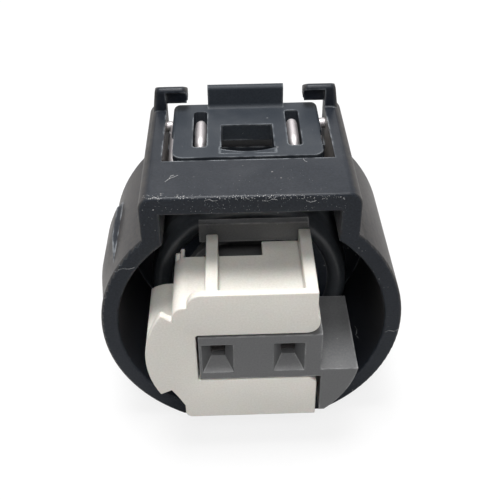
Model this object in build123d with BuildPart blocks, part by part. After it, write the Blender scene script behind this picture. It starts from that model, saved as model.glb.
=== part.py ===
"""Two-way sealed automotive connector with a wire-sprung latch, built in millimetres.

The origin is the centre of the mating face, on the mating axis. The connector mates
towards -Y, its wires leave towards +Y, and the latch is on top, at +Z.
"""
from build123d import *
from math import asin, cos, degrees, radians, sin, sqrt
import os

# Contacts, on the mating axis from side to side
contact_pitch = 5.0
contact_z = 0.1

# From the axis outwards: sleeve, interface seal, room for the header's tube, shroud
sleeve_bore = 5.2
sleeve_wall = 1.0
seal_thickness = 1.35
mating_gap = 2.15
shroud_wall = 1.25
flat_cut = 1.5

# From the mating face backwards: rim, flange that retains the seal, back wall
shroud_setback = 3.3
mating_depth = 7.8
ring_length = 5.6
ring_end_gap = 0.05
back_wall = 1.5
rim_edge = 0.2

# Latch block on top of the shroud, with the pocket for the lever
block_half_width = 7.38
block_rise = 0.57
block_wall = 1.4
block_corner = 1.0
front_bridge = 4.5
pocket_depth = 2.42

# Cheeks behind the pocket, each with a hook over the lever
cheek_length = 1.25
cheek_height = 3.52
hook_height = 1.75
hook_depth = 1.2
hook_inset = 0.26
hook_lean = 0.36
hook_reach = 1.63
hook_arm = 1.22
hook_brow = 0.32
hook_undercut = 0.5
hook_corner = 0.45
hook_arm_round = 0.15
hook_crest = 0.42
hook_fall = 0.55
hook_round = 0.3

# Ramp on the left flank
ramp_height = 0.42
ramp_start = 1.4
ramp_rise = 3.0
ramp_run = 3.6
ramp_end = 1.0
ramp_from = 152.0
ramp_sweep = 24.0

# Wire-side body
shoulder_radius = 8.0
shoulder_length = 2.2
shoulder_chamfer = 0.6
rear_length = 11.3
rear_height = 7.4
collar_length = 1.6
collar_height = 8.4
spine_width = 1.6
spine_height = 5.0

# Seat of the carrier in the inner sleeve
sleeve_setback = 0.65
seat_depth = 1.2
carrier_fit = 0.05
snap_height = 0.2
snap_length = 0.6
snap_inset = 1.4

# Wire seals and their bores
wire_bore_radius = 2.05
wire_bore_chamfer = 0.4
wire_hole_radius = 0.7
seal_fit = 0.05
seal_front_gap = 0.4
seal_length = 6.9
seal_core_radius = 1.75
seal_rib_crest = 0.3
seal_rib_root = 1.0
seal_rib_count = 3
seal_neck_radius = 1.1
seal_neck_inset = 0.1

# Interface seal, with an end lip that covers the front of the sleeve
ring_fit = 0.02
ring_lip_gap = 0.1
ring_lip_round = 0.45
ring_rib_height = 0.38
ring_rib_crest = 0.25
ring_rib_root = 0.95
ring_rib_places = (0.5, 0.8)

# Contact carrier
nose_left = -3.8
nose_right = 4.8
nose_top = 2.2
nose_bottom = -1.9
lobe_top = -1.25
lobe_angle = 46.6
flange_thickness = 0.6
flange_left = -3.67
flange_right = 4.3
flange_top = 6.5
flange_bottom = -4.9
band_height = 1.6
band_side = 0.45
band_floor = 0.4
band_window_depth = 2.0
carrier_wall = 0.5
funnel_width = 2.2
funnel_height = 2.7
funnel_depth = 1.1
tab_slot_width = 1.0
tab_slot_height = 1.5
tab_slot_depth = 0.5
cavity_width = 2.1
cavity_height = 2.4
crimp_cavity_radius = 1.75
crimp_cavity_lead = 0.25

# Secondary lock, a C that slides sideways over the nose
lock_gap = 0.15
lock_travel = 1.5
lock_behind = 1.7
lock_top_inset = 1.55
lock_bottom_inset = 1.6
lock_left_inset = 2.08
lock_valley = 3.8
lock_mouth_round = 0.9
lock_slot_round = 0.2
mouth_lip = 0.2
mouth_lip_z = 3.9
lobe_upper_angle = 145.0
lobe_lower_angle = 207.0
lobe_wall = 0.55
lobe_behind = 0.8
lobe_shelf = 1.7
lobe_shelf_drop = 0.4
waist_step = 0.89
waist_angle = 214.5
foot_left = -5.04
foot_shoulder = -4.72
foot_round = 0.5
foot_right = 4.53
foot_chamfer = 0.5
front_wall = 0.6
front_wall_left = -4.4
front_wall_round = 1.0
pocket_drop = 1.05
column_round = 0.9
rib_left_x = -2.72
rib_right_x = 3.95
rib_width = 0.85
rib_left_gap = 0.5
rib_right_gap = 0.1
rib_root = 3.7
ledge_left = 0.85
side_wall = 0.7
side_wall_drop = 0.5
skin = 0.6

# Fingers of the lock, measured from each contact
finger_left = -0.7
finger_width = 0.8
finger_behind = 2.9
finger_length = 1.0
finger_tip = 1.05

# Terminal cages, with the lance that holds them
sheet = 0.2
cage_clearance = 0.1
cage_front_gap = 0.2
cage_length = 7.0
cage_corner = 0.3
lance_width = 0.9
lance_root = 4.4
lance_tip = 6.9
lance_drop = 0.4
lance_gap = 0.1

# Terminals: spring beams, neck, conductor crimp and grip on the seal
beam_clearance = 0.05
beam_front_gap = 0.3
beam_pinch = 0.36
beam_pinch_y = 3.3
beam_root_y = 6.6
beam_top = 0.6
barrel_radius = 0.75
barrel_length = 2.6
grip_gap = 0.8
grip_length = 1.8
grip_inset = 0.4
grip_fit = 0.02
strap_half_width = 0.45

# Release lever: a body, and a wider top layer with ears at its rear corners
lever_side_gap = 0.68
lever_rebate = 0.42
lever_ear = 0.18
lever_ear_length = 4.4
lever_layer = 0.55
lever_front_gap = 0.4
lever_sink = 0.02
lever_thickness = 1.3
lever_overhang = 1.2
lever_front_corner = 0.8
lever_rear_corner = 0.5
lever_rear_round = 0.4
slot_margin = 0.98
slot_width = 1.0
slot_front = 1.4
slot_length = 5.1
slot_corner = 0.25
window_margin = 1.03
window_front = 1.15
window_length = 3.1
window_bow = 0.4
recess_step = 0.1
recess_length = 0.85
recess_depth = 0.15
tab_inset = 2.45
tab_overlap = 0.9
tab_thickness = 1.5
tab_height = 1.7
tab_lean = 0.1
tab_crest = 0.4
tab_fall = 0.75
tab_round = 0.28
tab_foot = 0.4
tab_blend = 0.36
catch_inset = 2.9
catch_length = 0.75
catch_drop = 0.9
catch_ramp = 0.4

# Wire spring, which is also the lever's hinge
wire_radius = 0.4
wire_bend = 0.75
wire_anchor_bend = 0.5
wire_rise_bend = 0.6
wire_side_gap = 0.07
wire_tuck = 0.35
wire_shift = 0.03
wire_splay = 0.1
wire_saddle = 0.46
wire_front = 1.6
wire_ramp = 1.15
wire_dive = 0.85
wire_rear = 6.2
wire_tuck_front = 2.8
wire_tuck_back = 3.6
wire_under_gap = 0.1
wire_end_gap = 0.1
pivot_inset = 0.3
pivot_drop = 1.17
pivot_fit = 0.05
pivot_hole_depth = 0.8

# Stations along the mating axis
rim_y = shroud_setback
flange_front = mating_depth - flange_thickness
ring_front = mating_depth + ring_end_gap
ring_back = ring_front + ring_length
sleeve_front = mating_depth + sleeve_setback
wall_front = ring_back + ring_end_gap
shroud_back = wall_front + back_wall
pocket_front = rim_y + front_bridge
cheek_end = shroud_back + cheek_length
hook_front = cheek_end - hook_depth
rear_end = shroud_back + rear_length
seat_end = shroud_back + seat_depth
carrier_end = seat_end - carrier_fit
lock_depth = flange_front - lock_behind
finger_front = flange_front - finger_behind
cavity_front = funnel_depth + tab_slot_depth
cage_front = cavity_front + cage_front_gap
cage_end = cage_front + cage_length
grip_front = seat_end - grip_inset - grip_length
barrel_end = grip_front - grip_gap
barrel_front = barrel_end - barrel_length
lever_front = pocket_front + lever_front_gap
lever_back = shroud_back + lever_overhang
pivot_y = shroud_back - pivot_inset

# Radii, heights and widths that follow from the sizes above
sleeve_radius = sleeve_bore + sleeve_wall
core_radius = sleeve_radius + seal_thickness
shroud_radius = core_radius + mating_gap + shroud_wall
shroud_flat = shroud_radius - flat_cut
block_top = shroud_radius + block_rise
pocket_sill = block_top - pocket_depth
cheek_bottom = block_top - cheek_height
pivot_z = block_top - pivot_drop
pocket_half_width = block_half_width - block_wall
hook_top = block_top + hook_height
lever_top = block_top - lever_sink
lever_underside = lever_top - lever_thickness
lever_half_width = pocket_half_width - lever_side_gap
lever_body_half = lever_half_width - lever_rebate
slot_x = lever_body_half - slot_margin - slot_width / 2
window_half_width = slot_x - slot_width / 2 - window_margin
recess_half_width = window_half_width + recess_step
lock_top = core_radius - lock_top_inset
lock_bottom = lock_bottom_inset - core_radius
lock_left = lock_left_inset - core_radius
lock_right = rib_right_x + rib_width / 2
pocket_floor = lock_top - pocket_drop
contact_x = contact_pitch / 2
slot_left = nose_left - lock_gap
slot_top = nose_top + lock_gap
slot_bottom = nose_bottom - lock_gap
carrier_radius = sleeve_bore - carrier_fit
cage_width = cavity_width - 2 * cage_clearance
cage_height = cavity_height - 2 * cage_clearance
cage_bottom = contact_z - cage_height / 2
notch_floor = finger_tip - lock_gap
terminal_floor = contact_z - barrel_radius


def across(y, x=0.0, z=0.0):
    """Plane across the mating axis: local x is X, local y is Z, and its normal is -Y."""
    return Plane(origin=(x, y, z), x_dir=(1, 0, 0), z_dir=(0, -1, 0))


def turned(x=0.0, z=0.0):
    """Plane for a turned profile: local x is the radius, local y runs along Y."""
    return Plane(origin=(x, 0, z), x_dir=(1, 0, 0), z_dir=(0, 0, 1))


def side_on(x=0.0):
    """Plane seen from the right: local x is Y, local y is Z."""
    return Plane(origin=(x, 0, 0), x_dir=(0, 1, 0), z_dir=(1, 0, 0))


def on_circle(radius, angle):
    """Point on a circle about the mating axis, at an angle from +X towards +Z."""
    return (radius * cos(radians(angle)), radius * sin(radians(angle)))


def block(x, y, z, mode=Mode.ADD):
    """Straight block between two values on each axis, in the part that is open."""
    with BuildSketch(across(y[0])) as profile:
        with Locations(((x[0] + x[1]) / 2, (z[0] + z[1]) / 2)):
            Rectangle(abs(x[1] - x[0]), abs(z[1] - z[0]))
    extrude(profile.sketch, amount=y[0] - y[1], mode=mode)


def flat_bottomed(radius, flat):
    """Circle with the part below the flat cut off, in the sketch that is open."""
    Circle(radius)
    with Locations((0, -flat - radius)):
        Rectangle(3 * radius, 2 * radius, mode=Mode.SUBTRACT)


def export(builder, name):
    """Label the finished piece and write it as its own STEP file."""
    builder.part.label = name
    export_step(builder.part, f"parts/{name}.step")


os.makedirs("parts", exist_ok=True)

# Housing: shroud, latch block, inner sleeve and wire-side body in one moulding
with BuildPart() as housing:
    with BuildSketch(across(rim_y)):
        flat_bottomed(shroud_radius, shroud_flat)
        with Locations((0, block_top / 2)):
            Rectangle(2 * block_half_width, block_top)
    extrude(amount=rim_y - shroud_back)
    block((-block_half_width, block_half_width), (shroud_back, cheek_end), (cheek_bottom, block_top))
    fillet(housing.edges().filter_by(Axis.Y).group_by(Axis.Z)[-1], block_corner)

    # Mating space inside the shroud, with the latch channel above it
    with BuildSketch(across(rim_y)):
        flat_bottomed(shroud_radius - shroud_wall, shroud_flat - shroud_wall)
        with Locations((0, (block_top - block_wall) / 2)):
            Rectangle(2 * pocket_half_width, block_top - block_wall)
    extrude(amount=rim_y - wall_front, mode=Mode.SUBTRACT)

    # Rounded rim
    fillet(housing.faces().filter_by(Axis.Y).sort_by(Axis.Y)[0].edges(), rim_edge)

    # Pocket for the lever, open to the rear between the cheeks
    block((-pocket_half_width, pocket_half_width), (pocket_front, shroud_back), (pocket_sill, block_top),
          Mode.SUBTRACT)
    block((-pocket_half_width, pocket_half_width), (shroud_back, cheek_end), (cheek_bottom, block_top),
          Mode.SUBTRACT)

    # Hooks: a post on each cheek and an arm that reaches in over the lever
    arm_bottom = hook_top - hook_arm
    for side in (-1, 1):
        inner = side * pocket_half_width
        outer = side * (block_half_width - hook_inset)
        with BuildSketch(across(hook_front)):
            with BuildLine():
                FilletPolyline(
                    (inner, arm_bottom),
                    (inner - side * hook_reach, arm_bottom),
                    (inner - side * hook_reach, hook_top),
                    (outer - side * hook_lean, hook_top),
                    (outer, block_top - block_corner),
                    radius=[hook_arm_round, hook_corner, hook_corner],
                )
                Polyline(
                    (outer, block_top - block_corner),
                    (inner, block_top - block_corner),
                    (inner, arm_bottom),
                )
            make_face()
        extrude(amount=-hook_depth)
        fillet(housing.edges().filter_by(Axis.X).group_by(Axis.Z)[-1].group_by(Axis.Y)[0], hook_round)

        # Undercut face of the arm, and the crest that falls away to the rear
        with BuildSketch(side_on(inner)):
            with BuildLine():
                Polyline(
                    (hook_front - hook_round, hook_top - hook_brow),
                    (hook_front, hook_top - hook_brow),
                    (hook_front + hook_undercut, arm_bottom),
                    (hook_front - hook_round, arm_bottom),
                    close=True,
                )
            make_face()
        extrude(amount=-side * hook_reach, mode=Mode.SUBTRACT)
        with BuildSketch(side_on(inner - side * hook_reach)):
            with BuildLine():
                Polyline(
                    (hook_front + hook_crest, hook_top),
                    (cheek_end, hook_top - hook_fall),
                    (cheek_end, hook_top),
                    close=True,
                )
            make_face()
        extrude(amount=side * (hook_reach + block_wall), mode=Mode.SUBTRACT)

    # Inner sleeve for the seal, then shoulder, wire-side body, end collar and spines
    with BuildSketch(across(sleeve_front)):
        Circle(sleeve_radius)
    extrude(amount=sleeve_front - shroud_back)
    with BuildSketch(across(shroud_back)):
        Circle(shoulder_radius)
    extrude(amount=-shoulder_length)
    chamfer(housing.edges().filter_by(GeomType.CIRCLE).sort_by(Axis.Y)[-1], shoulder_chamfer)
    with BuildSketch(across(shroud_back, z=contact_z)):
        SlotCenterToCenter(contact_pitch, rear_height)
    extrude(amount=-rear_length)
    with BuildSketch(across(rear_end, z=contact_z)):
        SlotCenterToCenter(contact_pitch, collar_height)
    extrude(amount=collar_length)
    block((-spine_width / 2, spine_width / 2), (shroud_back, rear_end),
          (contact_z - spine_height, contact_z + spine_height))

    # Seat of the carrier with its snap groove, and the two wire bores behind it
    with BuildSketch(turned()):
        with BuildLine():
            Polyline(
                (0, sleeve_front),
                (sleeve_bore, sleeve_front),
                (sleeve_bore, seat_end - snap_inset - snap_length),
                (sleeve_bore + snap_height, seat_end - snap_inset - snap_length + snap_height),
                (sleeve_bore + snap_height, seat_end - snap_inset),
                (sleeve_bore, seat_end - snap_inset),
                (sleeve_bore, seat_end),
                (0, seat_end),
                close=True,
            )
        make_face()
    revolve(axis=Axis.Y, mode=Mode.SUBTRACT)
    with BuildSketch(across(rear_end, z=contact_z)):
        with GridLocations(contact_pitch, 1, 2, 1):
            Circle(wire_bore_radius)
    extrude(amount=rear_end - seat_end, mode=Mode.SUBTRACT)
    mouths = housing.faces().filter_by(Axis.Y).sort_by(Axis.Y)[-1].inner_wires().edges()
    chamfer(mouths, wire_bore_chamfer)

    # Blind pivot holes for the ends of the wire spring
    for side in (-1, 1):
        inner_face = Plane(origin=(side * pocket_half_width, pivot_y, pivot_z), z_dir=(side, 0, 0))
        with BuildSketch(inner_face):
            Circle(wire_radius + pivot_fit)
        extrude(amount=pivot_hole_depth, mode=Mode.SUBTRACT)

    # Ramp on the left flank, turned about the mating axis
    radial = on_circle(1, ramp_from + ramp_sweep)
    flank = Plane(origin=(0, rim_y, 0), x_dir=(radial[0], 0, radial[1]), z_dir=(-radial[1], 0, radial[0]))
    with BuildSketch(flank):
        with BuildLine():
            Polyline(
                (shroud_radius - shroud_wall / 2, ramp_start),
                (shroud_radius, ramp_start),
                (shroud_radius + ramp_height, ramp_start + ramp_rise),
                (shroud_radius + ramp_height, ramp_start + ramp_rise + ramp_run),
                (shroud_radius, ramp_start + ramp_rise + ramp_run + ramp_end),
                (shroud_radius - shroud_wall / 2, ramp_start + ramp_rise + ramp_run + ramp_end),
                close=True,
            )
        make_face()
    revolve(axis=Axis.Y, revolution_arc=ramp_sweep)
export(housing, "housing")

# Contact carrier: nose with the tab entries, lobe, flange that retains the seal, terminal block
with BuildPart() as contact_carrier:
    block((nose_left, nose_right), (0, mating_depth), (nose_bottom, nose_top))
    with BuildSketch(across(0)):
        lobe_tip = (sqrt(core_radius**2 - lobe_top**2), lobe_top)
        lobe_middle = on_circle(core_radius, -lobe_angle / 2)
        lobe_end = on_circle(core_radius, -lobe_angle)
        with BuildLine():
            ThreePointArc(lobe_tip, lobe_middle, lobe_end)
            Polyline(lobe_end, (nose_right, lobe_end[1]), (nose_right, lobe_top), lobe_tip)
        make_face()
    extrude(amount=-mating_depth)
    block((flange_left, flange_right), (flange_front, mating_depth), (flange_bottom, flange_top))
    with BuildSketch(turned()):
        with BuildLine():
            Polyline(
                (0, mating_depth),
                (carrier_radius, mating_depth),
                (carrier_radius, seat_end - snap_inset - snap_length),
                (carrier_radius + snap_height, seat_end - snap_inset - snap_length + snap_height),
                (carrier_radius + snap_height, seat_end - snap_inset - carrier_fit),
                (carrier_radius, seat_end - snap_inset - carrier_fit),
                (carrier_radius, carrier_end),
                (0, carrier_end),
                close=True,
            )
        make_face()
    revolve(axis=Axis.Y)

    # Window under the top band of the flange, and the core behind it
    window_x = (flange_left, flange_right - band_side)
    window_z = (nose_top + band_floor, flange_top - band_height)
    block(window_x, (flange_front, mating_depth), window_z, Mode.SUBTRACT)
    with BuildSketch(across(mating_depth)):
        with Locations(((window_x[0] + window_x[1]) / 2, (window_z[0] + window_z[1]) / 2)):
            Rectangle(window_x[1] - window_x[0], window_z[1] - window_z[0])
        Circle(carrier_radius - carrier_wall, mode=Mode.INTERSECT)
    extrude(amount=-band_window_depth, mode=Mode.SUBTRACT)

    for x in (-contact_x, contact_x):
        # Tab entry, cavity for the cage and wider cavity for the crimp
        with BuildSketch(across(0, x, contact_z)):
            Rectangle(funnel_width, funnel_height)
        with BuildSketch(across(funnel_depth, x, contact_z)):
            Rectangle(tab_slot_width, tab_slot_height)
        loft(mode=Mode.SUBTRACT)
        with BuildSketch(across(funnel_depth, x, contact_z)):
            Rectangle(tab_slot_width, tab_slot_height)
        extrude(amount=-tab_slot_depth, mode=Mode.SUBTRACT)
        with BuildSketch(across(cavity_front, x, contact_z)):
            Rectangle(cavity_width, cavity_height)
        extrude(amount=cavity_front - carrier_end, mode=Mode.SUBTRACT)
        with BuildSketch(across(carrier_end, x, contact_z)):
            Circle(crimp_cavity_radius)
        extrude(amount=carrier_end - barrel_end + crimp_cavity_lead, mode=Mode.SUBTRACT)

        # Roof window for the lock's finger, long enough for its travel
        block((x + finger_left - lock_travel - lock_gap, x + finger_left + finger_width + lock_gap),
              (finger_front - lock_gap, finger_front + finger_length + lock_gap),
              (notch_floor, nose_top), Mode.SUBTRACT)

        # Pocket in the floor for the lance
        block((x - lance_width / 2 - lance_gap, x + lance_width / 2 + lance_gap),
              (lance_root, lance_tip + lance_gap),
              (cage_bottom + sheet / 2 - lance_drop - lance_gap, cage_bottom), Mode.SUBTRACT)
export(contact_carrier, "contact_carrier")

# Secondary lock: outline with the C open to the right, lobe on the left
with BuildPart() as secondary_lock:
    lobe_start = on_circle(core_radius, lobe_upper_angle)
    lobe_side = on_circle(core_radius, 180)
    lobe_finish = on_circle(core_radius, lobe_lower_angle)
    waist_outer = on_circle(core_radius - waist_step, lobe_lower_angle)
    waist_inner = on_circle(core_radius - waist_step, waist_angle)
    with BuildSketch(across(0)):
        with BuildLine():
            FilletPolyline(
                lobe_start,
                (lock_left, lock_valley),
                (lock_left, pocket_floor),
                (front_wall_left, pocket_floor),
                (front_wall_left, lock_top),
                (lock_right, lock_top),
                (lock_right, mouth_lip_z),
                (lock_right + mouth_lip, mouth_lip_z - mouth_lip),
                (lock_right + mouth_lip, slot_top),
                (slot_left, slot_top),
                (slot_left, slot_bottom),
                (foot_right - foot_chamfer, slot_bottom),
                (foot_right, slot_bottom - foot_chamfer),
                (foot_right, lock_bottom),
                (foot_left, lock_bottom),
                (foot_left, foot_shoulder),
                waist_inner,
                waist_outer,
                lobe_finish,
                radius=[
                    0, column_round, 0, front_wall_round, 0, 0, 0, lock_mouth_round, lock_slot_round,
                    lock_slot_round, 0, 0, 0, foot_round, 0, 0, 0,
                ],
            )
            ThreePointArc(lobe_finish, lobe_side, lobe_start)
        make_face()
    extrude(amount=-lock_depth)

    # Lobe behind its front wall, with a rounded shelf on top
    block((-core_radius, lock_left), (lobe_wall, lock_depth), (-core_radius, core_radius), Mode.SUBTRACT)
    shelf_edge = on_circle(core_radius, 180 - degrees(asin((lobe_shelf - lobe_shelf_drop) / core_radius)))
    shelf_middle = ((shelf_edge[0] + lock_left) / 2, lobe_shelf)
    with BuildSketch(across(lobe_wall)):
        with BuildLine():
            Spline(shelf_edge, shelf_middle, (lock_left, lobe_shelf))
            Polyline((lock_left, lobe_shelf), (lock_left, waist_outer[1]), waist_outer, lobe_finish)
            ThreePointArc(lobe_finish, lobe_side, shelf_edge)
        make_face()
    extrude(amount=lobe_wall + lobe_behind - flange_front)

    # Top recessed behind the front wall, with the two ribs left standing
    left_rib = (rib_left_x - rib_width / 2, rib_left_x + rib_width / 2)
    right_rib = (rib_right_x - rib_width / 2, lock_right)
    block((left_rib[1], right_rib[0]), (front_wall, lock_depth), (pocket_floor, lock_top), Mode.SUBTRACT)
    block((lock_left, left_rib[0]), (front_wall, lock_depth), (pocket_floor, lock_top), Mode.SUBTRACT)

    # Ribs, ledge and side wall that run on behind the floor
    right_end = flange_front - rib_right_gap
    block(left_rib, (lock_depth, flange_front - rib_left_gap), (rib_root, lock_top))
    block(right_rib, (lock_depth, right_end), (rib_root, lock_top))
    block((ledge_left, right_rib[0]), (lock_depth, right_end), (pocket_floor - skin, pocket_floor))
    block((lock_left, lock_left + side_wall), (lock_depth, right_end),
          (slot_top, pocket_floor - column_round))
    block((lock_left + column_round - side_wall_drop, lock_left + side_wall), (lock_depth, right_end),
          (slot_top, pocket_floor - side_wall_drop))

    # Cores from behind, which leave a skin all round
    block((left_rib[1], right_rib[0]), (front_wall, lock_depth), (slot_top + skin, pocket_floor - skin),
          Mode.SUBTRACT)
    block((foot_left + skin, foot_right - skin), (front_wall, lock_depth),
          (lock_bottom + skin, slot_bottom - skin), Mode.SUBTRACT)

    # Fingers that drop into the cages
    for x in (-contact_x, contact_x):
        block((x + finger_left, x + finger_left + finger_width), (finger_front, finger_front + finger_length),
              (finger_tip, slot_top + skin / 2))
export(secondary_lock, "secondary_lock")

# Interface seal on the sleeve, held by the flange
with BuildPart() as interface_seal:
    ring_inner = sleeve_radius + ring_fit
    ring_outer = core_radius + ring_fit
    with BuildSketch(turned()):
        with BuildLine():
            FilletPolyline(
                (ring_inner, ring_back),
                (ring_inner, sleeve_front - ring_end_gap),
                (carrier_radius + ring_lip_gap, sleeve_front - ring_end_gap),
                (carrier_radius + ring_lip_gap, ring_front),
                (ring_outer, ring_front),
                (ring_outer, ring_back),
                radius=[0, 0, 0, ring_lip_round],
            )
            Line((ring_outer, ring_back), (ring_inner, ring_back))
        make_face()
        for share in ring_rib_places:
            rib_y = ring_front + share * ring_length
            with BuildLine():
                Polyline(
                    (ring_outer, rib_y - ring_rib_root / 2),
                    (ring_outer + ring_rib_height, rib_y - ring_rib_crest / 2),
                    (ring_outer + ring_rib_height, rib_y + ring_rib_crest / 2),
                    (ring_outer, rib_y + ring_rib_root / 2),
                    close=True,
                )
            make_face()
    revolve(axis=Axis.Y)
export(interface_seal, "interface_seal")

for hand, x in (("left", -contact_x), ("right", contact_x)):
    # Cage: a folded box with a notch for the finger and a lance in its floor
    with BuildPart() as cage:
        with BuildSketch(across(cage_front, x, contact_z)):
            RectangleRounded(cage_width, cage_height, cage_corner)
            RectangleRounded(cage_width - 2 * sheet, cage_height - 2 * sheet, cage_corner - sheet,
                             mode=Mode.SUBTRACT)
        extrude(amount=-cage_length)
        block((x - cage_width / 2, x + cage_width / 2),
              (finger_front - lock_gap, finger_front + finger_length + lock_gap),
              (notch_floor, contact_z + cage_height / 2), Mode.SUBTRACT)
        block((x - lance_width / 2 - lance_gap, x + lance_width / 2 + lance_gap),
              (lance_root + sheet, lance_tip + lance_gap), (cage_bottom, cage_bottom + sheet), Mode.SUBTRACT)
        with BuildSketch(side_on(x)):
            with BuildLine():
                Polyline(
                    (lance_root, cage_bottom + sheet / 2),
                    (lance_root + sheet, cage_bottom + sheet / 2),
                    (lance_tip, cage_bottom + sheet - lance_drop),
                )
            trace(line_width=sheet)
        extrude(amount=lance_width / 2, both=True)
    export(cage, f"terminal_cage_{hand}")

    # Terminal: two beams that pinch the tab, throat, conductor crimp and grip on the seal
    grip_radius = seal_neck_radius + grip_fit + sheet
    with BuildPart() as terminal:
        beam_x = cage_width / 2 - sheet - beam_clearance - sheet / 2
        with BuildSketch(Plane.XY.offset(terminal_floor)):
            for side in (-1, 1):
                with BuildLine():
                    Polyline(
                        (x + side * beam_x, cage_front + beam_front_gap),
                        (x + side * beam_pinch, beam_pinch_y),
                        (x + side * beam_x, beam_root_y),
                        (x + side * beam_x, cage_end),
                    )
                trace(line_width=sheet)
        extrude(amount=contact_z + beam_top - terminal_floor)
        with BuildSketch(Plane.XY.offset(terminal_floor)):
            with BuildLine():
                Polyline(
                    (x - beam_x, beam_root_y),
                    (x + beam_x, beam_root_y),
                    (x + beam_x, cage_end),
                    (x + strap_half_width, barrel_front + sheet),
                    (x - strap_half_width, barrel_front + sheet),
                    (x - beam_x, cage_end),
                    close=True,
                )
            make_face()
        extrude(amount=sheet)
        with BuildSketch(across(barrel_front, x, contact_z)):
            Circle(barrel_radius)
            Circle(barrel_radius - sheet, mode=Mode.SUBTRACT)
        extrude(amount=-barrel_length)
        with BuildSketch(side_on(x)):
            with BuildLine():
                Polyline(
                    (barrel_end - sheet, terminal_floor + sheet / 2),
                    (barrel_end, terminal_floor + sheet / 2),
                    (grip_front, contact_z - grip_radius + sheet / 2),
                    (grip_front + sheet, contact_z - grip_radius + sheet / 2),
                )
            trace(line_width=sheet)
        extrude(amount=strap_half_width, both=True)
        with BuildSketch(across(grip_front, x, contact_z)):
            Circle(grip_radius)
            Circle(grip_radius - sheet, mode=Mode.SUBTRACT)
        extrude(amount=-grip_length)
    export(terminal, f"terminal_{hand}")

    # Wire seal: neck in the grip, ribbed body in the bore of the housing
    with BuildPart() as wire_seal:
        seal_front = seat_end + seal_front_gap
        neck_front = grip_front + seal_neck_inset
        with BuildSketch(turned(x, contact_z)):
            with Locations((0, neck_front)):
                Rectangle(seal_neck_radius, seal_front - neck_front, align=(Align.MIN, Align.MIN))
            with Locations((0, seal_front)):
                Rectangle(seal_core_radius, seal_length, align=(Align.MIN, Align.MIN))
            for rib in range(seal_rib_count):
                rib_y = seal_front + seal_length * (rib + 0.5) / seal_rib_count
                with BuildLine():
                    Polyline(
                        (seal_core_radius, rib_y - seal_rib_root / 2),
                        (wire_bore_radius - seal_fit, rib_y - seal_rib_crest / 2),
                        (wire_bore_radius - seal_fit, rib_y + seal_rib_crest / 2),
                        (seal_core_radius, rib_y + seal_rib_root / 2),
                        close=True,
                    )
                make_face()
            with Locations((0, neck_front)):
                Rectangle(wire_hole_radius, seal_front + seal_length - neck_front,
                          align=(Align.MIN, Align.MIN), mode=Mode.SUBTRACT)
        revolve(axis=Axis((x, 0, contact_z), (0, 1, 0)))
    export(wire_seal, f"wire_seal_{hand}")

# Release lever: plate with two slots and a window, thumb tab behind, catch under the front
with BuildPart() as release_lever:
    with BuildSketch(Plane.XY.offset(lever_underside)):
        with Locations((0, (lever_front + lever_back) / 2)):
            RectangleRounded(2 * lever_body_half, lever_back - lever_front, lever_rear_corner)
    extrude(amount=lever_thickness)
    with BuildSketch(Plane.XY.offset(lever_top - lever_layer)) as layer:
        with Locations((0, (lever_front + lever_back) / 2)):
            Rectangle(2 * lever_half_width, lever_back - lever_front)
        fillet(layer.vertices().group_by(Axis.Y)[0], lever_front_corner)
        with Locations((0, lever_back - lever_ear_length / 2)):
            Rectangle(2 * (lever_half_width + lever_ear), lever_ear_length)
        fillet(layer.vertices().group_by(Axis.Y)[-1], lever_rear_corner)
    extrude(amount=lever_layer)
    outline = release_lever.faces().sort_by(Axis.Z)[-1].edges()
    fillet(outline.filter_by(Axis.X).sort_by(Axis.Y)[-1], lever_rear_round)
    with BuildSketch(Plane.XY.offset(lever_top)):
        with Locations((0, lever_front + slot_front + slot_length / 2)):
            with GridLocations(2 * slot_x, 1, 2, 1):
                RectangleRounded(slot_width, slot_length, slot_corner)
        front = lever_front + window_front + window_bow / 2
        with BuildLine():
            ThreePointArc((-window_half_width, front), (0, front - window_bow), (window_half_width, front))
            Polyline(
                (window_half_width, front),
                (window_half_width, front + window_length),
                (-window_half_width, front + window_length),
                (-window_half_width, front),
            )
        make_face()
    extrude(amount=-lever_thickness, mode=Mode.SUBTRACT)
    block((-recess_half_width, recess_half_width), (front - recess_length, front),
          (lever_top - recess_depth, lever_top), Mode.SUBTRACT)
    with BuildSketch(side_on()):
        with BuildLine():
            tab_front = lever_back - tab_overlap
            tab_back = tab_front + tab_thickness
            FilletPolyline(
                (tab_front - tab_foot, lever_underside),
                (tab_front - tab_foot, lever_top),
                (tab_front, lever_top),
                (tab_front + tab_lean, lever_top + tab_height),
                (tab_front + tab_lean + tab_crest, lever_top + tab_height),
                (tab_back, lever_top + tab_height - tab_fall),
                (tab_back, lever_underside),
                radius=[0, tab_blend, tab_round, 0, 0],
            )
            Line((tab_back, lever_underside), (tab_front - tab_foot, lever_underside))
        make_face()
    extrude(amount=lever_half_width - tab_inset, both=True)
    with BuildSketch(side_on()):
        with BuildLine():
            Polyline(
                (lever_front, lever_underside),
                (lever_front + catch_ramp, lever_underside - catch_drop),
                (lever_front + catch_length, lever_underside - catch_drop),
                (lever_front + catch_length, lever_underside),
                close=True,
            )
        make_face()
    extrude(amount=lever_half_width - catch_inset, both=True)
export(release_lever, "release_lever")

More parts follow.
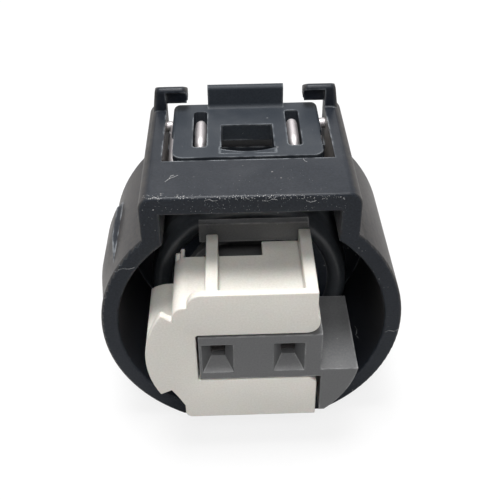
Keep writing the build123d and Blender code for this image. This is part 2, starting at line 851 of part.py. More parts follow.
# Wire spring: ends in the cheeks, legs beside and under the lever, two saddles up through its slots
with BuildPart() as locking_spring:
    low = lever_underside - wire_under_gap - wire_radius
    high = lever_top - wire_saddle
    front = lever_front + wire_front
    rear = lever_front + wire_rear
    end_x = pocket_half_width + pivot_hole_depth - wire_end_gap
    slot_line = slot_x - wire_shift
    side_x = lever_body_half + wire_side_gap + wire_radius
    tuck_x = side_x - wire_tuck
    with BuildLine() as route:
        FilletPolyline(
            (-end_x, pivot_y, pivot_z),
            (-side_x, pivot_y, pivot_z),
            (-side_x, front, low),
            (-slot_line - wire_splay, front, low),
            (-slot_line, front + wire_ramp, high),
            (-slot_line, rear - wire_dive, high),
            (-slot_line, rear, low),
            (slot_line, rear, low),
            (slot_line, rear - wire_dive, high),
            (slot_line, front + wire_ramp, high),
            (slot_line + wire_splay, front, low),
            (tuck_x, front, low),
            (tuck_x, front + wire_tuck_front, low),
            (side_x, front + wire_tuck_back, low),
            (side_x, pivot_y, pivot_z),
            (end_x, pivot_y, pivot_z),
            radius=[
                wire_anchor_bend, wire_bend, wire_bend, wire_rise_bend, wire_rise_bend, wire_bend,
                wire_bend, wire_rise_bend, wire_rise_bend, wire_bend, wire_bend, wire_rise_bend,
                wire_rise_bend, wire_anchor_bend,
            ],
        )
    with BuildSketch(Plane(origin=route.line @ 0, z_dir=route.line % 0)):
        Circle(wire_radius)
    sweep()
export(locking_spring, "locking_spring")
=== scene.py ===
"""Looks of the sealed automotive connector: rounded moulded edges, plastics, wire, dust and studio."""
import math
import random

import bmesh
import bpy
from mathutils import Matrix, Vector
from mathutils.bvhtree import BVHTree


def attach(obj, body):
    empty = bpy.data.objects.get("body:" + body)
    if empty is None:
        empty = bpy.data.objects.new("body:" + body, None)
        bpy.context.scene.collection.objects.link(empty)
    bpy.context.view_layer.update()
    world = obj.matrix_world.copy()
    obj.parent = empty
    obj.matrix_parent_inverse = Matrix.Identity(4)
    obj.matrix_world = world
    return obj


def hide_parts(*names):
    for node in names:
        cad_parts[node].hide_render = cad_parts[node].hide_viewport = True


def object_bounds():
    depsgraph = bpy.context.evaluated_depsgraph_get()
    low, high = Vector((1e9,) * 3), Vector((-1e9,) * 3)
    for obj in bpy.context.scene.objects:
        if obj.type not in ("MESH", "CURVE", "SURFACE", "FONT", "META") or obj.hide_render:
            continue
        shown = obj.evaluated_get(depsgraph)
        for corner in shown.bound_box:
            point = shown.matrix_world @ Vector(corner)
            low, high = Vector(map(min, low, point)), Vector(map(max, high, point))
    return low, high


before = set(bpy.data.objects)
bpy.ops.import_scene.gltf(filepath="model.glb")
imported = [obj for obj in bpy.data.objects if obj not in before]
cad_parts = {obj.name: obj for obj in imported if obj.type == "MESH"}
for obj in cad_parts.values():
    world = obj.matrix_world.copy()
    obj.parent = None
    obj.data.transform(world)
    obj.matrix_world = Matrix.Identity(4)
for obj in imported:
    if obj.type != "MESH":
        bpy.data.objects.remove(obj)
CAD_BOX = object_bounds()
MM = 0.001
scene = bpy.context.scene

PICTURE = 500
FOCAL_LENGTH = 803.718
LENS_AT = Vector((-1.00, -39.46, 40.81)) * MM
SENSOR_WIDTH = 36


def lens_axes():
    """Right, up and ahead of the photograph's lens."""
    yaw, pitch, roll = math.radians(1.244), math.radians(38.226), math.radians(-0.774)
    ahead = Vector((math.sin(yaw) * math.cos(pitch), math.cos(yaw) * math.cos(pitch), -math.sin(pitch)))
    level = Vector((math.cos(yaw), -math.sin(yaw), 0))
    upright = level.cross(ahead)
    right = math.cos(roll) * level + math.sin(roll) * upright
    up = -math.sin(roll) * level + math.cos(roll) * upright
    return right, up, ahead


LENS_RIGHT, LENS_UP, LENS_AHEAD = lens_axes()


def look_through_the_photographs_lens():
    """Camera at the photograph's place and angle."""
    data = bpy.data.cameras.new("camera")
    data.sensor_width = SENSOR_WIDTH
    data.lens = FOCAL_LENGTH * data.sensor_width / PICTURE
    data.clip_start = 2 * MM
    camera = bpy.data.objects.new("camera", data)
    scene.collection.objects.link(camera)
    rotation = Matrix((LENS_RIGHT, LENS_UP, -LENS_AHEAD)).transposed()
    camera.matrix_world = Matrix.Translation(LENS_AT) @ rotation.to_4x4()
    scene.camera = camera


def new_group(name, inputs, outputs):
    """Shader node group with named number sockets; returns the group and its input and output nodes."""
    group = bpy.data.node_groups.new(name, "ShaderNodeTree")
    for label, default in inputs.items():
        socket = group.interface.new_socket(label, in_out="INPUT", socket_type="NodeSocketFloat")
        socket.default_value = default
    for label in outputs:
        group.interface.new_socket(label, in_out="OUTPUT", socket_type="NodeSocketFloat")
    return group, group.nodes.new("NodeGroupInput"), group.nodes.new("NodeGroupOutput")


def add(tree, kind, sockets=None, **settings):
    """Node of a kind, with settings, and each named or numbered socket set or linked."""
    node = tree.nodes.new(kind)
    for key, value in settings.items():
        setattr(node, key, value)
    for key, value in (sockets or {}).items():
        if isinstance(value, bpy.types.NodeSocket):
            tree.links.new(value, node.inputs[key])
        else:
            node.inputs[key].default_value = value
    return node


def maths(tree, operation, a, b=0.0, clamp=False):
    """Result of one sum on two values."""
    return add(tree, "ShaderNodeMath", {0: a, 1: b}, operation=operation, use_clamp=clamp).outputs[0]


def ramp(tree, value, low, high):
    """Value turned into 0 to 1 between two limits, eased at both ends."""
    node = add(tree, "ShaderNodeMapRange", {"Value": value, "From Min": low, "From Max": high},
               interpolation_type="SMOOTHSTEP")
    return node.outputs["Result"]


def noise(tree, place, scale, detail, roughness=0.5):
    """Soft random pattern; scale is its repeats in a metre."""
    sockets = {"Vector": place, "Scale": scale, "Detail": detail, "Roughness": roughness}
    return add(tree, "ShaderNodeTexNoise", sockets).outputs["Fac"]


def object_place(tree):
    """Place on the piece, in its own coordinates."""
    return add(tree, "ShaderNodeTexCoord").outputs["Object"]


def surface_normal(tree):
    """Direction that the surface faces."""
    return add(tree, "ShaderNodeNewGeometry").outputs["Normal"]


def vector_maths(tree, operation, output, *vectors):
    """One output of one sum on vectors."""
    return add(tree, "ShaderNodeVectorMath", dict(enumerate(vectors)), operation=operation).outputs[output]


def make_moulded_grain():
    """Spark-eroded skin of a moulding: fine pits, soft flow and a little change of tone."""
    group, put, out = new_group("moulded_grain", {"Grain Size": 0.1, "Flow": 0.5}, ("Height", "Tone"))
    place = object_place(group)
    repeats = maths(group, "DIVIDE", 1000.0, put.outputs["Grain Size"])
    fine = noise(group, place, repeats, 3.0, 0.6)
    soft = noise(group, place, 420.0, 2.0)
    broad = noise(group, place, 130.0, 3.0)
    flow = maths(group, "MULTIPLY", soft, put.outputs["Flow"])
    height = maths(group, "ADD", fine, flow)
    tone = maths(group, "ADD", maths(group, "MULTIPLY", fine, 0.7), maths(group, "MULTIPLY", broad, 0.3))
    group.links.new(height, out.inputs["Height"])
    group.links.new(tone, out.inputs["Tone"])
    return group


def make_edge_rub_and_highlight():
    """Mask of the corners that handling has rubbed, where a highlight along their rounding is also painted,
    broken up by noise.
    """
    group, put, out = new_group("edge_rub_and_highlight", {"Reach": 0.2 * MM, "Amount": 0.5}, ("Mask",))
    place = object_place(group)
    flat = surface_normal(group)
    rounded = add(group, "ShaderNodeBevel", {"Radius": put.outputs["Reach"]}, samples=6).outputs["Normal"]
    facing = vector_maths(group, "DOT_PRODUCT", "Value", flat, rounded)
    edge = ramp(group, maths(group, "SUBTRACT", 1.0, facing), 0.01, 0.16)
    patchy = noise(group, place, 900.0, 3.0)
    broken = maths(group, "MULTIPLY", edge, ramp(group, patchy, 0.35, 0.65))
    mask = maths(group, "MULTIPLY", broken, put.outputs["Amount"], clamp=True)
    group.links.new(mask, out.inputs["Mask"])
    return group


def make_settled_dust():
    """Pale haze on faces that look up, with sharp specks scattered all over."""
    group, put, out = new_group("settled_dust", {"Haze": 0.1, "Specks": 0.5}, ("Mask",))
    place = object_place(group)
    upward = add(group, "ShaderNodeSeparateXYZ", {0: surface_normal(group)}).outputs["Z"]
    cloud = noise(group, place, 260.0, 4.0, 0.65)
    haze = maths(group, "MULTIPLY", ramp(group, upward, 0.2, 1.0), ramp(group, cloud, 0.35, 0.8))
    haze = maths(group, "MULTIPLY", haze, put.outputs["Haze"])
    cells = add(group, "ShaderNodeTexVoronoi", {"Vector": place, "Scale": 1900.0, "Randomness": 1.0})
    chance = add(group, "ShaderNodeSeparateColor", {0: cells.outputs["Color"]}).outputs[0]
    near = maths(group, "SUBTRACT", 1.0, ramp(group, cells.outputs["Distance"], 0.06, 0.16))
    speck = maths(group, "MULTIPLY", near, maths(group, "GREATER_THAN", chance, 0.955))
    speck = maths(group, "MULTIPLY", speck, put.outputs["Specks"])
    group.links.new(maths(group, "ADD", haze, speck, clamp=True), out.inputs["Mask"])
    return group


def make_flank_scuff_and_reflection():
    """Mask of the shroud's outer sides, further out than Reach, where handling scuffs them and where their
    grazing reflection is painted lighter.
    """
    group, put, out = new_group("flank_scuff_and_reflection", {"Reach": 10.2 * MM, "Amount": 0.5}, ("Mask",))
    place = object_place(group)
    normal = surface_normal(group)
    across = vector_maths(group, "MULTIPLY", 0, place, (1, 0, 1))
    radius = vector_maths(group, "LENGTH", "Value", across)
    outward = vector_maths(group, "DOT_PRODUCT", "Value", normal, across)
    sideways = maths(group, "ABSOLUTE", add(group, "ShaderNodeSeparateXYZ", {0: normal}).outputs["X"])
    facing = maths(group, "MULTIPLY", ramp(group, sideways, 0.25, 0.7),
                   maths(group, "GREATER_THAN", outward, 0.0))
    patchy = noise(group, place, 2600.0, 4.0, 0.6)
    outside = maths(group, "MULTIPLY", maths(group, "GREATER_THAN", radius, put.outputs["Reach"]), facing)
    mask = maths(group, "MULTIPLY", outside, ramp(group, patchy, 0.1, 0.75))
    group.links.new(maths(group, "MULTIPLY", mask, put.outputs["Amount"], clamp=True), out.inputs["Mask"])
    return group


GRAIN = make_moulded_grain()
EDGE_RUB_AND_HIGHLIGHT = make_edge_rub_and_highlight()
DUST = make_settled_dust()
FLANK_SCUFF_AND_REFLECTION = make_flank_scuff_and_reflection()


def place_group(tree, group, **values):
    """Instance of an effect in a material, with its own values."""
    node = tree.nodes.new("ShaderNodeGroup")
    node.node_tree = group
    for key, value in values.items():
        node.inputs[key.replace("_", " ")].default_value = value
    return node


def blend_colour(tree, factor, a, b):
    """Colour between a and b."""
    node = add(tree, "ShaderNodeMix", {0: factor}, data_type="RGBA")
    for index, value in ((6, a), (7, b)):
        if isinstance(value, bpy.types.NodeSocket):
            tree.links.new(value, node.inputs[index])
        else:
            node.inputs[index].default_value = (*value, 1)
    return node.outputs[2]


def new_material(name):
    """Material with nodes; returns it with its tree and its Principled shader."""
    material = bpy.data.materials.new(name)
    material.use_nodes = True
    return material, material.node_tree, material.node_tree.nodes["Principled BSDF"]


def moulded(name, dark, light, roughness, grain, flow, relief, rub_and_highlight_colour, rub_and_highlight, dust_colour, haze, specks,
            scuff_and_reflection_colour=None, scuff_and_reflection=0.0, **shader):
    """Moulded plastic or rubber with grain, rubbed edges with a painted highlight along them, and dust; the
    shroud's flanks can also get handling scuffs with a painted grazing reflection. Grain and relief are in
    millimetres.
    """
    material, tree, surface = new_material(name)
    skin = place_group(tree, GRAIN, Grain_Size=grain, Flow=flow)
    worn_and_highlit = place_group(tree, EDGE_RUB_AND_HIGHLIGHT, Reach=0.26 * MM, Amount=rub_and_highlight)
    dust = place_group(tree, DUST, Haze=haze, Specks=specks)
    colour = blend_colour(tree, ramp(tree, skin.outputs["Tone"], 0.3, 0.7), dark, light)
    # The shroud's outer flanks: handling scuffs, together with their bright grazing reflection painted in as a
    # lighter brownish colour.
    if scuff_and_reflection_colour:
        scuff_and_reflection_mask = place_group(tree, FLANK_SCUFF_AND_REFLECTION, Amount=scuff_and_reflection).outputs["Mask"]
        colour = blend_colour(tree, scuff_and_reflection_mask, colour, scuff_and_reflection_colour)
    # Rubbed edges lighter from wear, together with a painted highlight along their rounding.
    colour = blend_colour(tree, worn_and_highlit.outputs["Mask"], colour, rub_and_highlight_colour)
    colour = blend_colour(tree, dust.outputs["Mask"], colour, dust_colour)
    tree.links.new(colour, surface.inputs["Base Color"])
    uneven = 0.22
    rough = maths(tree, "ADD", maths(tree, "MULTIPLY", skin.outputs["Tone"], uneven), roughness - uneven / 2)
    rough = maths(tree, "ADD", rough, maths(tree, "MULTIPLY", dust.outputs["Mask"], 0.3), clamp=True)
    tree.links.new(rough, surface.inputs["Roughness"])
    bump = add(tree, "ShaderNodeBump", {"Strength": 1.0, "Distance": relief * MM,
                                        "Height": skin.outputs["Height"]})
    tree.links.new(bump.outputs["Normal"], surface.inputs["Normal"])
    for key, value in shader.items():
        surface.inputs[key.replace("_", " ")].default_value = value
    return material


def drawn_metal(name, colour, stain, roughness, lines_across, lines_along):
    """Drawn or tinned metal: fine lines along the piece and faint stains."""
    material, tree, surface = new_material(name)
    skin = place_group(tree, GRAIN, Grain_Size=0.05, Flow=0.2)
    stretch = (lines_across, lines_along, lines_across)
    stretched = add(tree, "ShaderNodeMapping", {"Vector": object_place(tree), "Scale": stretch}).outputs[0]
    lines = noise(tree, stretched, 1.0, 3.0)
    tone = blend_colour(tree, ramp(tree, skin.outputs["Tone"], 0.35, 0.75), colour, stain)
    tree.links.new(tone, surface.inputs["Base Color"])
    uneven = 0.2
    rough = maths(tree, "ADD", maths(tree, "MULTIPLY", lines, uneven), roughness - uneven / 2, clamp=True)
    tree.links.new(rough, surface.inputs["Roughness"])
    bump = add(tree, "ShaderNodeBump", {"Strength": 0.4, "Distance": 0.004 * MM, "Height": lines})
    tree.links.new(bump.outputs["Normal"], surface.inputs["Normal"])
    surface.inputs["Metallic"].default_value = 1.0
    return material


BLACK_DUST = (0.42, 0.41, 0.40)
# Edge colours, here and in the finishes below, are lighter than their plastics: edge wear together with a
# painted highlight on the rounded edges.
BLACK_RUB_AND_HIGHLIGHT = (0.30, 0.32, 0.34)
FINISH = {
    "housing": moulded(
        "housing_plastic", (0.007, 0.0095, 0.0145), (0.018, 0.0225, 0.031), 0.42,
        grain=0.15, flow=0.8, relief=0.009, rub_and_highlight_colour=BLACK_RUB_AND_HIGHLIGHT, rub_and_highlight=0.85,
        # Flank colour: handling scuffs, together with the flanks' grazing reflection painted lighter.
        dust_colour=BLACK_DUST, haze=0.03, specks=0.5, scuff_and_reflection_colour=(0.075, 0.067, 0.06), scuff_and_reflection=0.7,
        Specular_IOR_Level=0.22, Coat_Weight=0.12, Coat_Roughness=0.3,
        Sheen_Weight=0.05, Sheen_Roughness=0.4, Sheen_Tint=(1.0, 0.9, 0.82, 1)),
    "lever": moulded(
        "lever_plastic", (0.023, 0.0275, 0.0345), (0.036, 0.0425, 0.052), 0.45,
        grain=0.10, flow=0.6, relief=0.006, rub_and_highlight_colour=BLACK_RUB_AND_HIGHLIGHT, rub_and_highlight=0.6,
        dust_colour=BLACK_DUST, haze=0.04, specks=0.4, Specular_IOR_Level=0.16),
    "carrier": moulded(
        "carrier_plastic", (0.105, 0.107, 0.110), (0.14, 0.141, 0.143), 0.42,
        grain=0.12, flow=0.6, relief=0.006, rub_and_highlight_colour=(0.36, 0.36, 0.36), rub_and_highlight=0.7,
        dust_colour=(0.5, 0.49, 0.47), haze=0.05, specks=0.2),
    "lock": moulded(
        "lock_plastic", (0.70, 0.675, 0.615), (0.78, 0.755, 0.70), 0.40,
        grain=0.14, flow=0.8, relief=0.004, rub_and_highlight_colour=(0.86, 0.84, 0.79), rub_and_highlight=0.4,
        dust_colour=(0.35, 0.33, 0.3), haze=0.03, specks=0.1,
        Subsurface_Weight=0.12, Subsurface_Scale=0.6 * MM),
    "seal": moulded(
        "seal_silicone", (0.024, 0.028, 0.033), (0.040, 0.044, 0.050), 0.36,
        grain=0.16, flow=0.7, relief=0.005, rub_and_highlight_colour=(0.16, 0.16, 0.17), rub_and_highlight=0.4,
        dust_colour=(0.30, 0.31, 0.32), haze=0.45, specks=0.4, Coat_Weight=0.3, Coat_Roughness=0.3),
    "spring": drawn_metal("spring_wire", (0.72, 0.68, 0.685), (0.56, 0.535, 0.54), 0.56, 9000, 700),
    "tin": drawn_metal("tinned_strip", (0.72, 0.70, 0.66), (0.6, 0.58, 0.54), 0.34, 6000, 500),
}


def lint_fibre():
    """Pale textile lint, a little uneven in tone."""
    material, tree, surface = new_material("lint")
    skin = place_group(tree, GRAIN, Grain_Size=0.08, Flow=0.3)
    tone = ramp(tree, skin.outputs["Tone"], 0.35, 0.65)
    colour = blend_colour(tree, tone, (0.42, 0.43, 0.44), (0.66, 0.65, 0.63))
    tree.links.new(colour, surface.inputs["Base Color"])
    rough = maths(tree, "ADD", maths(tree, "MULTIPLY", skin.outputs["Tone"], 0.2), 0.7, clamp=True)
    tree.links.new(rough, surface.inputs["Roughness"])
    return material


LINT = lint_fibre()
SHADED_SMOOTH_TO = math.radians(28)
CORNER_FROM = math.radians(32)


def merged_copy(node):
    """The CAD solid's triangles, merged into one closed skin with its flat faces whole."""
    shape = bmesh.new()
    shape.from_mesh(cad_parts[node].data)
    bmesh.ops.remove_doubles(shape, verts=shape.verts, dist=2e-6)
    bmesh.ops.dissolve_limit(shape, angle_limit=math.radians(0.6), verts=shape.verts, edges=shape.edges)
    return shape


def round_off(shape, edges, radius, segments, clamped):
    """Rounds the given edges to a radius."""
    bmesh.ops.bevel(shape, geom=edges, offset=radius, offset_type="OFFSET", segments=segments, profile=0.5,
                    affect="EDGES", clamp_overlap=clamped, material=-1)


def edges_where(shape, chosen):
    """Edges between two faces for which chosen(end, end), in millimetres, is true."""
    return [edge for edge in shape.edges if len(edge.link_faces) == 2
            and chosen(edge.verts[0].co / MM, edge.verts[1].co / MM)]


def piece_from(shape, name, material, body):
    """Smooth piece made of the shape, riding on its body."""
    mesh = bpy.data.meshes.new(name)
    for face in shape.faces:
        face.smooth = True
    shape.to_mesh(mesh)
    shape.free()
    mesh.materials.append(material)
    piece = bpy.data.objects.new(name, mesh)
    scene.collection.objects.link(piece)
    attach(piece, body)
    return piece


def stand_for(node, shape, name, finish, body, corner_radius=0.0):
    """Piece that stands for a CAD node, with its finish and its small moulded radius."""
    piece = piece_from(shape, name, FINISH[finish], body)
    piece.data.set_sharp_from_angle(angle=SHADED_SMOOTH_TO)
    if corner_radius:
        corners = piece.modifiers.new("rounded_edges", "BEVEL")
        corners.width = corner_radius
        corners.segments = 2
        corners.limit_method = "ANGLE"
        corners.angle_limit = CORNER_FROM
        corners.use_clamp_overlap = True
    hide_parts(node)
    return piece


def mould_housing():
    """Housing: shroud, latch block, cheeks and hooks, with a dark step cut under each hook's brow."""
    arm_tip, cheek, hooks_from, slope_end = 4.3, 6.0, 14.9, 15.25
    arm_bottom, lowered_bottom, brow_bottom, recess_back = 12.05, 11.84, 12.86, 15.5
    shape = merged_copy("housing")

    def on_hooks(corner):
        x, y, z = abs(corner.co.x / MM), corner.co.y / MM, corner.co.z / MM
        return arm_tip < x < cheek and y > hooks_from and z > 12.0

    hooks = [face for face in shape.faces if all(on_hooks(corner) for corner in face.verts)]
    around = list({part for face in hooks for part in (*face.verts, *face.edges)})
    bmesh.ops.bisect_plane(shape, geom=hooks + around, plane_co=(0, 0, brow_bottom * MM), plane_no=(0, 0, 1),
                           dist=1e-7)
    for corner in shape.verts:
        x, y, z = abs(corner.co.x / MM), corner.co.y / MM, corner.co.z / MM
        if arm_tip < x < cheek and 15.04 < y < slope_end and abs(z - brow_bottom) < 0.01:
            corner.co.y = recess_back * MM
        elif arm_tip < x < cheek and y > hooks_from and abs(z - arm_bottom) < 0.01:
            corner.co.z = lowered_bottom * MM
    return stand_for("housing", shape, "housing_moulding", "housing", "connector_body", 0.09 * MM)


def mould_lever():
    """Lever: plate with slots and window, and the thumb tab; its rear edge and ears are well rounded."""
    shape = merged_copy("release_lever")

    def rear_edge_of_plate(a, b):
        return min(a.y, b.y) > 16.1 and min(a.z, b.z) > 11.4 and max(a.z, b.z) < 11.6

    def top_corner_of_tab(a, b):
        return min(a.z, b.z) > 13.1 and abs(a.x - b.x) < 0.02 and abs(a.x) > 2.6

    round_off(shape, edges_where(shape, rear_edge_of_plate), 0.30 * MM, 4, True)
    round_off(shape, edges_where(shape, top_corner_of_tab), 0.28 * MM, 4, True)
    return stand_for("release_lever", shape, "lever_moulding", "lever", "latch", 0.07 * MM)


def mould_slider():
    """Slider: the off-white C round the nose, with soft corners, kept inside its own box."""
    shape = merged_copy("secondary_lock")
    low, high = (Vector(pick(corner.co[axis] for corner in shape.verts) for axis in range(3))
                 for pick in (min, max))
    edges = [edge for edge in shape.edges if len(edge.link_faces) == 2 and edge.calc_face_angle() > CORNER_FROM]
    round_off(shape, edges, 0.10 * MM, 3, False)
    for corner in shape.verts:
        for axis in range(3):
            corner.co[axis] = min(max(corner.co[axis], low[axis]), high[axis])
    return stand_for("secondary_lock", shape, "lock_moulding", "lock", "lock")


def mould_seal():
    """Silicone ring round the sleeve: a broad rounded lip in front, ribs behind it."""
    lip_radius, lip_centre, lip_depth, lip_steps = 0.76, 6.79, 8.62, 16
    outline = [(6.22, 13.44), (6.22, 8.43), (6.02, 8.43)]
    for step in range(lip_steps + 1):
        turn = math.pi * step / lip_steps
        outline.append((lip_centre - lip_radius * math.cos(turn), lip_depth - lip_radius * math.sin(turn)))
    outline += [(7.56, 9.4), (7.62, 9.7), (7.62, 10.0), (7.56, 10.3),
                (7.56, 11.3), (7.62, 11.6), (7.62, 11.9), (7.56, 12.2), (7.56, 13.44)]
    shape = bmesh.new()
    corners = [shape.verts.new((radius * MM, depth * MM, 0)) for radius, depth in outline]
    rim = [shape.edges.new(pair) for pair in zip(corners, corners[1:] + corners[:1])]
    bmesh.ops.spin(shape, geom=corners + rim, cent=(0, 0, 0), axis=(0, 1, 0), dvec=(0, 0, 0), angle=math.tau,
                   steps=120, use_merge=True, use_duplicate=False)
    bmesh.ops.remove_doubles(shape, verts=shape.verts, dist=1e-6)
    bmesh.ops.recalc_face_normals(shape, faces=shape.faces)
    return stand_for("interface_seal", shape, "seal_ring", "seal", "connector_body")


def dress_the_frame():
    """Every CAD solid gets its finish; the mouldings in view get rounded corners and their lint."""
    housing = mould_housing()
    lever = mould_lever()
    slider = mould_slider()
    carrier = stand_for("contact_carrier", merged_copy("contact_carrier"), "carrier_moulding", "carrier",
                        "connector_body", 0.06 * MM)
    mould_seal()
    stand_for("locking_spring", merged_copy("locking_spring"), "spring_wire", "spring", "latch")
    for side in ("left", "right"):
        for node, name, finish in (("wire_seal_", "wire_seal_ribbed_", "seal"),
                                   ("terminal_cage_", "cage_folded_", "spring"),
                                   ("terminal_", "terminal_formed_", "tin")):
            stand_for(node + side, merged_copy(node + side), name + side, finish, "connector_body")
    lay_lint([("connector_body", housing), ("latch", lever), ("lock", slider), ("connector_body", carrier)])


def surface_finder(piece):
    """Tree of a finished piece's faces, its modifiers included."""
    made = piece.evaluated_get(bpy.context.evaluated_depsgraph_get())
    mesh = made.to_mesh()
    corners = [corner.co.copy() for corner in mesh.vertices]
    tree = BVHTree.FromPolygons(corners, [tuple(face.vertices) for face in mesh.polygons])
    made.to_mesh_clear()
    return tree


def seen_at(finders, u, v):
    """Nearest face under a point of the photograph: (body, point, normal, distance)."""
    across, down = (u - PICTURE / 2) / FOCAL_LENGTH, (v - PICTURE / 2) / FOCAL_LENGTH
    aim = (LENS_AHEAD + LENS_RIGHT * across - LENS_UP * down).normalized()
    best = None
    for body, finder in finders:
        point, normal, _, distance = finder.ray_cast(LENS_AT, aim)
        if point and (best is None or distance < best[3]):
            best = (body, point, normal if normal.dot(aim) < 0 else -normal, distance)
    return best


# Left, right, top and bottom of each dusty area of the photograph, how many specks, and their size in mm
SPECK_FIELDS = [
    (140, 345, 195, 199, 200, 0.048), (142, 348, 198, 213, 120, 0.032), (150, 340, 170, 196, 60, 0.026),
    (126, 365, 120, 180, 24, 0.025), (100, 180, 215, 275, 30, 0.032), (330, 400, 215, 330, 40, 0.035),
    (110, 400, 330, 420, 24, 0.03), (180, 320, 205, 240, 14, 0.035), (190, 330, 285, 400, 12, 0.03),
]
# Place in the photograph and size in mm of each larger speck
LARGER_SPECKS = [
    (153, 210, 0.09), (348, 248, 0.10), (356, 255, 0.07), (359, 248, 0.06), (362, 251, 0.05),
    (340, 245, 0.06), (379, 279, 0.06), (388, 287, 0.05), (340, 243, 0.04),
]
# Places in the photograph that each fibre passes
FIBRES = [
    [(118, 270), (123, 268), (129, 269), (136, 267)],
    [(165, 182), (169, 179), (174, 177), (179, 175)],
    [(169, 179), (171, 176), (175, 175)],
    [(385, 332), (389, 330), (394, 331), (399, 329)],
    [(303, 159), (305, 161), (308, 162)],
    [(355, 326), (357, 330), (356, 335), (359, 339)],
    [(150, 199), (154, 197), (158, 199), (163, 198)],
    [(204, 201), (209, 199), (213, 201), (219, 200)],
    [(262, 200), (268, 201), (272, 199), (279, 200)],
    [(306, 200), (311, 202), (318, 200)],
]
FIBRE_RADIUS = 0.012 * MM
FIBRE_STEPS = 4
LONGEST_STEP = 0.6 * MM
BOX_MARGIN = 0.06 * MM


def clear_of_box_faces(point):
    """Whether a speck at the point stays inside the CAD box."""
    return all(low + BOX_MARGIN < part < high - BOX_MARGIN
               for low, part, high in zip(CAD_BOX[0], point, CAD_BOX[1]))


def lay_speck(shape, chance, point, normal, size):
    """One flat crumb of dust on a surface."""
    made = bmesh.ops.create_icosphere(shape, subdivisions=1, radius=size * MM * 0.5)["verts"]
    bmesh.ops.scale(shape, verts=made, vec=(chance.uniform(0.7, 1.5), chance.uniform(0.6, 1.1), 0.45))
    turn = normal.to_track_quat("Z", "Y").to_matrix() @ Matrix.Rotation(chance.uniform(0, 6.28), 3, "Z")
    bmesh.ops.rotate(shape, verts=made, matrix=turn)
    bmesh.ops.translate(shape, verts=made, vec=point + normal * size * MM * 0.08)


def lay_fibre(shape, hits):
    """One fibre from point to point, lying on the surface."""
    on_top = [point + normal * FIBRE_RADIUS for _, point, normal, _ in hits]
    for start, end in zip(on_top, on_top[1:]):
        along = end - start
        rod = bmesh.ops.create_cone(shape, segments=6, radius1=FIBRE_RADIUS, radius2=FIBRE_RADIUS,
                                    depth=along.length * 1.15, cap_ends=True)["verts"]
        bmesh.ops.rotate(shape, verts=rod, matrix=along.to_track_quat("Z", "Y").to_matrix())
        bmesh.ops.translate(shape, verts=rod, vec=(start + end) / 2)


def lay_lint(pieces):
    """Specks and fibres of lint, each lying on the moulding that carries it."""
    finders = [(body, surface_finder(piece)) for body, piece in pieces]
    chance = random.Random(11)
    spots = list(LARGER_SPECKS)
    for left, right, top, bottom, count, size in SPECK_FIELDS:
        for _ in range(count):
            spots.append((chance.uniform(left, right), chance.uniform(top, bottom),
                          size * chance.uniform(0.5, 1.3)))
    shapes = {}

    def lint_of(body):
        if body not in shapes:
            shapes[body] = bmesh.new()
        return shapes[body]

    for u, v, size in spots:
        hit = seen_at(finders, u, v)
        if hit and clear_of_box_faces(hit[1]):
            lay_speck(lint_of(hit[0]), chance, hit[1], hit[2], size)
    for course in FIBRES:
        hits = []
        for (u0, v0), (u1, v1) in zip(course, course[1:]):
            for step in range(FIBRE_STEPS):
                share = step / FIBRE_STEPS
                hit = seen_at(finders, u0 + (u1 - u0) * share, v0 + (v1 - v0) * share)
                if hit and (not hits or (hit[1] - hits[-1][1]).length < LONGEST_STEP):
                    hits.append(hit)
        if len(hits) > 2:
            lay_fibre(lint_of(hits[0][0]), hits)
    for body, shape in shapes.items():
        piece_from(shape, "lint_on_" + body, LINT, body)


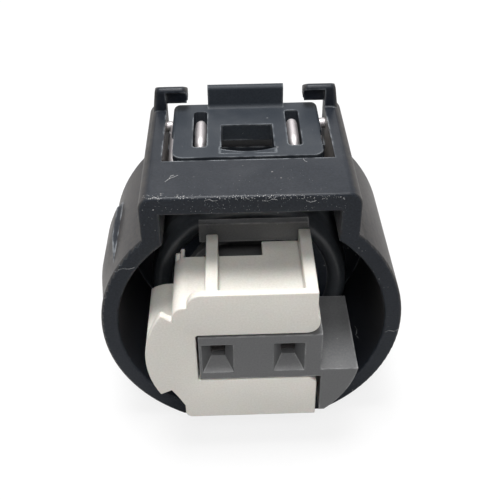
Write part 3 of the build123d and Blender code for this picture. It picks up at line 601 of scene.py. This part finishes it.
def lay_floor():
    """Pale floor that the camera sees as white, with the object's shadow."""
    just_under = 0.02 * MM
    bpy.ops.mesh.primitive_plane_add(size=3, location=(0, 0.4, CAD_BOX[0].z - just_under))
    floor = bpy.context.object
    floor.name = "floor"
    material, tree, surface = new_material("pale_floor")
    surface.inputs["Roughness"].default_value = 0.9
    surface.inputs["Specular IOR Level"].default_value = 0.1
    glow = add(tree, "ShaderNodeEmission", {"Color": (1, 1, 1, 1), "Strength": 1.0})
    seen = add(tree, "ShaderNodeLightPath").outputs["Is Camera Ray"]
    tree.links.new(blend_colour(tree, seen, (0.4, 0.4, 0.4), (0.8, 0.8, 0.8)), surface.inputs["Base Color"])
    share = maths(tree, "MULTIPLY", seen, 0.8)
    mix = add(tree, "ShaderNodeMixShader", {0: share, 1: surface.outputs[0], 2: glow.outputs[0]})
    tree.links.new(mix.outputs[0], tree.nodes["Material Output"].inputs["Surface"])
    floor.data.materials.append(material)


def surround_in_white():
    """World that the camera sees as white and that fills the shadows softly."""
    world = bpy.data.worlds.new("surround")
    scene.world = world
    world.use_nodes = True
    tree = world.node_tree
    fill = tree.nodes["Background"]
    fill.inputs["Color"].default_value = (1, 1, 1, 1)
    fill.inputs["Strength"].default_value = 0.33
    bright = add(tree, "ShaderNodeBackground", {"Color": (1, 1, 1, 1), "Strength": 1.0})
    seen = add(tree, "ShaderNodeLightPath").outputs["Is Camera Ray"]
    mix = add(tree, "ShaderNodeMixShader", {0: seen, 1: fill.outputs[0], 2: bright.outputs[0]})
    tree.links.new(mix.outputs[0], tree.nodes["World Output"].inputs["Surface"])


def hang_softbox(name, power, size, place):
    """Rectangular soft lamp that faces the connector."""
    data = bpy.data.lights.new(name, "AREA")
    data.energy = power
    data.shape = "RECTANGLE"
    data.size, data.size_y = size
    light = bpy.data.objects.new(name, data)
    scene.collection.objects.link(light)
    light.location = place
    light.rotation_mode = "QUATERNION"
    light.rotation_quaternion = (Vector((0, 0.01, 0)) - Vector(place)).to_track_quat("-Z", "Y")


def studio():
    """Pale floor, white surround and soft lamps."""
    lay_floor()
    surround_in_white()
    hang_softbox("softbox_over", 1.6, (0.16, 0.16), (-0.02, 0.03, 0.38))
    hang_softbox("softbox_rear", 0.20, (0.30, 0.20), (0, 0.30, 0.28))
    hang_softbox("softbox_front", 0.72, (0.20, 0.14), (0, -0.26, 0.36))
    hang_softbox("backdrop_glow", 0.25, (0.60, 0.20), (0, 0.50, 0.09))


look_through_the_photographs_lens()
dress_the_frame()
studio()
scene.view_settings.view_transform = "Standard"
